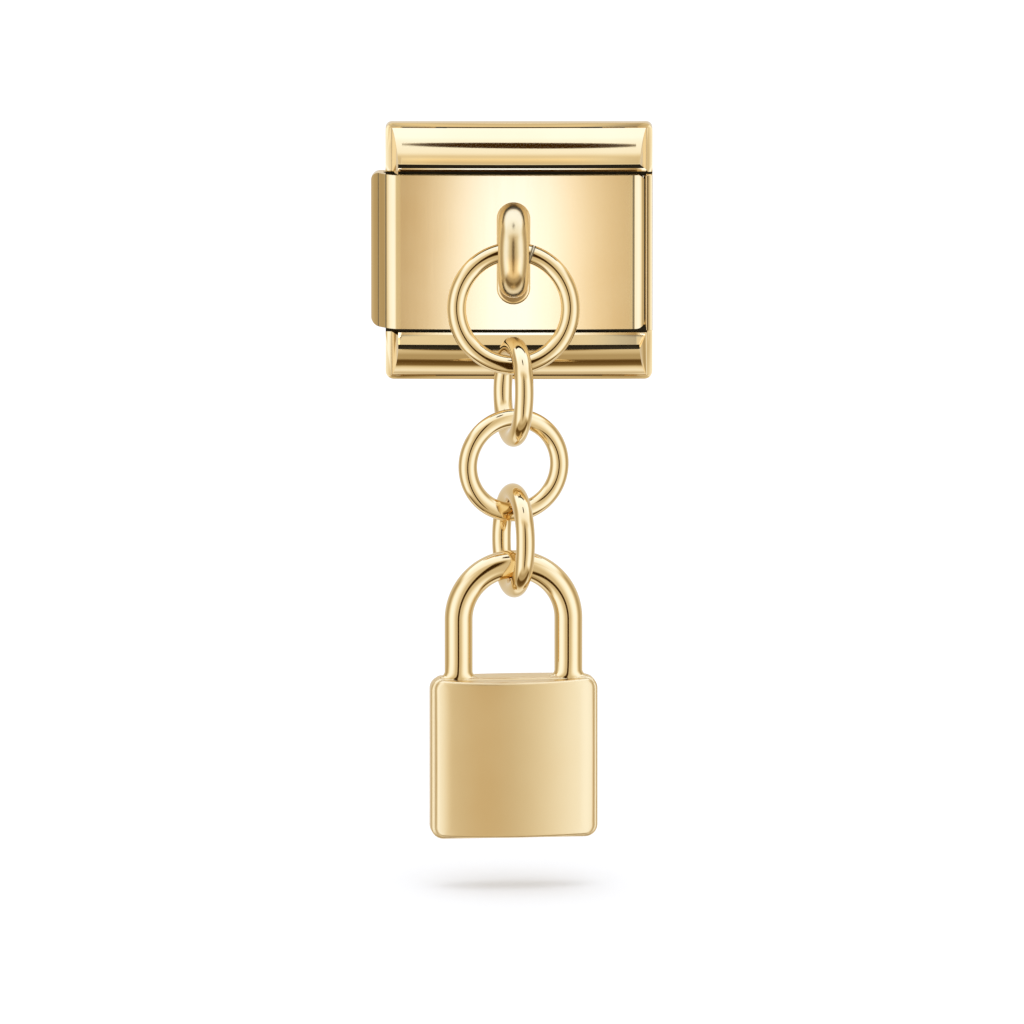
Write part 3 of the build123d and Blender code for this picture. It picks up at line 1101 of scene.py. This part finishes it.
# brightness round the object, by degrees to either side of the front
aroundFront = [
    (0, 0.75), (18, 0.73), (24, 0.84), (31, 1.08), (38, 1.24), (46, 1.42), (60, 1.5), (74, 1.4),
    (84, 1.0), (93, 0.62), (104, 0.45), (116, 0.5), (130, 0.72), (180, 0.8),
]
# brightness under and over it, by degrees up from the front horizon
under = [
    (-180, 0.3), (-158, 0.3), (-149, 0.46), (-141, 0.52), (-127, 0.68), (-121, 0.93),
    (-116, 1.2), (-107, 1.05), (-102, 0.85), (-98, 0.42), (-95, 0.16), (-84, 0.07),
    (-80, 0.1), (-76, 0.47), (-66, 0.46), (-58, 0.72), (-48, 0.8), (0, 0.8),
]
over = [
    (0, 0.8), (28, 0.95), (37, 0.82), (44, 0.84), (50, 1.15), (54, 1.32), (70, 1.42), (84, 1.5),
    (92, 1.6), (127, 1.6), (130, 0.3), (134, 0.25), (137, 1.0), (140, 1.0), (143, 0.72), (180, 0.6),
]
frontAt = -1.0  # the studio's middle lies this many degrees to the side
turnOver, turnUnder, turnSoft = (26.0, 44.0), (-50.0, -38.0), (50.0, 75.0)
sideLevel = 0.9
darkCore = {"side": 7.0, "low": -50.0, "high": 40.0, "soft": 10.0, "edge": 2.5, "keep": 0.03}
darkSpindle = {
    "over": 71.5, "half": 7.4, "side": 5.3, "aside": 0.4, "lean": 0.28, "taper": 2.3, "keep": 0.02,
}


def rampOf(shader, source, stops, low, high):
    # looks up a brightness between the stops; the ramp itself holds values up to 1
    top = 2.5
    node = shader.add(
        "ShaderNodeValToRGB",
        {"stops": [((at - low) / (high - low), (level / top,) * 3 + (1,)) for at, level in stops]},
        {"Fac": (source - low) * (1 / (high - low))},
    )
    return shader.value(node) * top


def lightColour(level):
    # dim light is warm, and light beyond the gold's own brightness turns white
    low, high = level.atMost(1.0), level.atLeast(1.0)
    return {"Red": low**0.8 * high**0.6, "Green": level, "Blue": low**1.42 * high**1.8}


def makeWorld():
    world = bpy.data.worlds.new("studio")
    bpy.context.scene.world = world
    world.use_nodes = True
    world.cycles.sampling_method = "NONE"  # the light found depends on the kind of ray alone
    shader = Shader(world.node_tree)
    way = shader.add(
        "ShaderNodeSeparateXYZ", values={"Vector": shader.add("ShaderNodeTexCoord").outputs["Generated"]}
    )
    x, y, z = (shader.value(way, name) for name in "XYZ")
    degrees = 180 / math.pi
    azimuth = x.run("ARCTAN2", x, -y) * degrees
    elevation = z.run("ARCSINE", z) * degrees
    height = z.run("ARCTAN2", z, -y) * degrees
    side = x.run("ARCSINE", x) * degrees
    sides = rampOf(shader, abs(azimuth - frontAt), aroundFront, 0, 180)
    above = shader.smooth(height, -1, 1)
    upright = rampOf(shader, height, over, 0, 180) * above
    upright = upright + rampOf(shader, height, under, -180, 0) * (1 - above)
    far = shader.smooth(abs(side), *turnSoft)
    upright = upright * (1 - far) + far * sideLevel
    turn = shader.smooth(elevation, *turnOver) + 1 - shader.smooth(elevation, *turnUnder)
    level = sides * (1 - turn) + upright * turn
    front = shader.smooth(-y, 0.0, 0.2)
    core = shader.window(azimuth - frontAt, -darkCore["side"], darkCore["side"], darkCore["edge"])
    core = core * shader.window(elevation, darkCore["low"], darkCore["high"], darkCore["soft"]) * front
    level = level * (1 - core * (1 - darkCore["keep"]))
    across = (side - darkSpindle["aside"]) / darkSpindle["side"]
    along = (height - darkSpindle["over"] + side * darkSpindle["lean"]) / darkSpindle["half"]
    spindle = 1 - shader.smooth(abs(across) ** darkSpindle["taper"] + along * along, 0.85, 1.05)
    level = level * (1 - spindle * (1 - darkSpindle["keep"]))
    colour = shader.add("ShaderNodeCombineColor", values=lightColour(level))
    path = shader.add("ShaderNodeLightPath")
    plainRays = shader.value(path, "Is Camera Ray").atLeast(shader.value(path, "Is Diffuse Ray"))
    lit = shader.add("ShaderNodeBackground", values={"Color": colour})
    plain = shader.add(
        "ShaderNodeBackground", values={"Color": (1, 1, 1, 1), "Strength": studio["background"]}
    )
    both = shader.add("ShaderNodeMixShader", values={0: plainRays, 1: lit, 2: plain})
    shader.add("ShaderNodeOutputWorld", values={"Surface": both})


def hangLamp(name, lamp, receivers, blockers):
    # puts a lamp in the scene that shines on the given pieces alone
    holder = bpy.data.objects.new(name, lamp)
    bpy.context.scene.collection.objects.link(holder)
    holder.visible_camera = False
    for use, pieces in (("receiver", receivers), ("blocker", blockers)):
        group = bpy.data.collections.new(f"{name}_{use}")
        for piece in pieces:
            group.objects.link(piece)
        setattr(holder.light_linking, f"{use}_collection", group)
    return holder


def areaLamp(name, look, receivers, blockers):
    # an upright lamp in front of the object
    lamp = bpy.data.lights.new(name, "AREA")
    lamp.shape = "RECTANGLE"
    lamp.size = look["width"] * mm
    lamp.size_y = (look["top"] - look["bottom"]) * mm
    lamp.energy = math.pi * lamp.size * lamp.size_y
    lamp.use_nodes = True
    holder = hangLamp(name, lamp, receivers, blockers)
    spotAt = Vector((look["aside"], faceY - look["ahead"], (look["top"] + look["bottom"]) / 2))
    holder.matrix_world = Matrix.Translation(spotAt * mm) @ Matrix.Rotation(math.pi / 2, 4, "X")
    shader = Shader(lamp.node_tree)
    spot = shader.add(
        "ShaderNodeSeparateXYZ",
        values={"Vector": shader.add("ShaderNodeNewGeometry").outputs["Parametric"]},
    )
    return shader, shader.value(spot, "X") - 0.5, shader.value(spot, "Y")


def shine(shader, colour):
    mixed = shader.add("ShaderNodeCombineColor", values=colour)
    glow = shader.add("ShaderNodeEmission", values={"Color": mixed})
    shader.add("ShaderNodeOutputLight", values={"Surface": glow})


def makePlateLight():
    # a soft upright strip that the link's flat faces mirror
    look = studio["plateLight"]
    pieces = (facePlate, railCase)
    shader, u, v = areaLamp("plateLight", look, pieces, pieces + (backBracket,))
    fall = math.e ** ((abs(u) / look["spread"]) ** look["steep"] * -1)
    ends = shader.smooth(v, 0.0, 0.08) * (1 - shader.smooth(v, 0.92, 1.0))
    shine(shader, lightColour(fall * ends * look["level"]))


def overLight(whole, under):
    # the colour that lifts one brightness to another
    return {name: (whole[name] - under[name]).atLeast(0.0) for name in whole}


def makeCrownLight():
    # a tall strip higher up that fills the dark core where the rails' crowns and ledges see it
    look = studio["crownLight"]
    blockers = (facePlate, railCase, backBracket)
    shader, u, v = areaLamp("crownLight", look, (railCase,), blockers)
    turn = u * (look["width"] / (look["ahead"] * math.radians(look["spread"])))
    core = shader.window(turn - frontAt, -darkCore["side"], darkCore["side"], darkCore["edge"])
    core = core * shader.smooth(v, 0.02, 0.1) * (1 - shader.smooth(v, 0.6, 0.85))
    fill = shader.smooth(v, 0.0, 0.1) * (1 - shader.smooth(v, 0.25, 0.48)) * look["level"]
    under = (1 - core * (1 - darkCore["keep"])) * look["under"]
    shine(shader, overLight(lightColour(fill + look["under"]), lightColour(under)))


def makeLockLight():
    # a weak strip that softens the dark middle in the padlock's body
    look = studio["lockLight"]
    shader, u, v = areaLamp("lockLight", look, (padlockBody,), (padlockBody,))
    fade = (1 - shader.smooth(abs(u), 0.3, 0.5)) * look["level"]
    shine(shader, lightColour(fade))


def makeLoopLight():
    # a wide weak light from below the front that keeps the loop's lower half golden
    look = studio["loopLight"]
    shader, u, v = areaLamp("loopLight", look, (solderedLoop,), (solderedLoop, facePlate))
    fade = shader.smooth(v, 0.0, 0.3) * (1 - shader.smooth(v, 0.75, 1.0)) * look["level"]
    shine(shader, lightColour(fade))


def makeFloor():
    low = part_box("padlock")[0].z / mm - studio["floorBelow"]
    half = studio["floorHalf"]
    corners = [(-half, -half, low), (half, -half, low), (half, half, low), (-half, half, low)]
    floor = addObject("floor", meshFrom("floor", corners, [(0, 1, 2, 3)]))
    material = bpy.data.materials.new("paleFloor")
    material.use_nodes = True
    shader = Shader(material.node_tree)
    surface = shader.add(
        "ShaderNodeBsdfPrincipled",
        values={"Base Color": studio["floorColour"] + (1,), "Roughness": 0.9, "Specular IOR Level": 0.0},
    )
    shader.add("ShaderNodeOutputMaterial", values={"Surface": surface})
    floor.data.materials.append(material)
    floor.visible_glossy = False
    return floor


def makeFloorLight(floor):
    # a soft light from above that gives the floor a shadow under the padlock
    lamp = bpy.data.lights.new("floorLight", "SUN")
    lamp.energy = studio["floorLight"]["level"]
    lamp.angle = math.radians(studio["floorLight"]["spread"])
    hangLamp("floorLight", lamp, (floor,), (padlockBody,))


def makeCamera():
    tilt = math.radians(camera["elevation"])
    up = Vector((0, math.sin(tilt), math.cos(tilt)))
    ahead = Vector((0, math.cos(tilt), -math.sin(tilt)))
    scale, half = camera["pixelsPerMm"], camera["picture"] / 2
    middle = Vector(((half - camera["centreX"]) / scale, faceY, 0))
    middle += up * (camera["centreY"] - half) / scale
    eye = middle - ahead * camera["distance"]
    lens = bpy.data.cameras.new("camera")
    lens.sensor_width = camera["sensor"]
    lens.lens = camera["sensor"] * camera["distance"] * scale / camera["picture"]
    lens.clip_start = 0.01
    lens.clip_end = 10
    holder = bpy.data.objects.new("camera", lens)
    bpy.context.scene.collection.objects.link(holder)
    holder.matrix_world = Matrix.Translation(eye * mm) @ Matrix.Rotation(math.pi / 2 - tilt, 4, "X")
    bpy.context.scene.camera = holder


makeWorld()
makePlateLight()
makeCrownLight()
makeLockLight()
makeLoopLight()
makeFloorLight(makeFloor())
makeCamera()
bpy.context.scene.view_settings.view_transform = "Standard"
print("stage: studio ready")
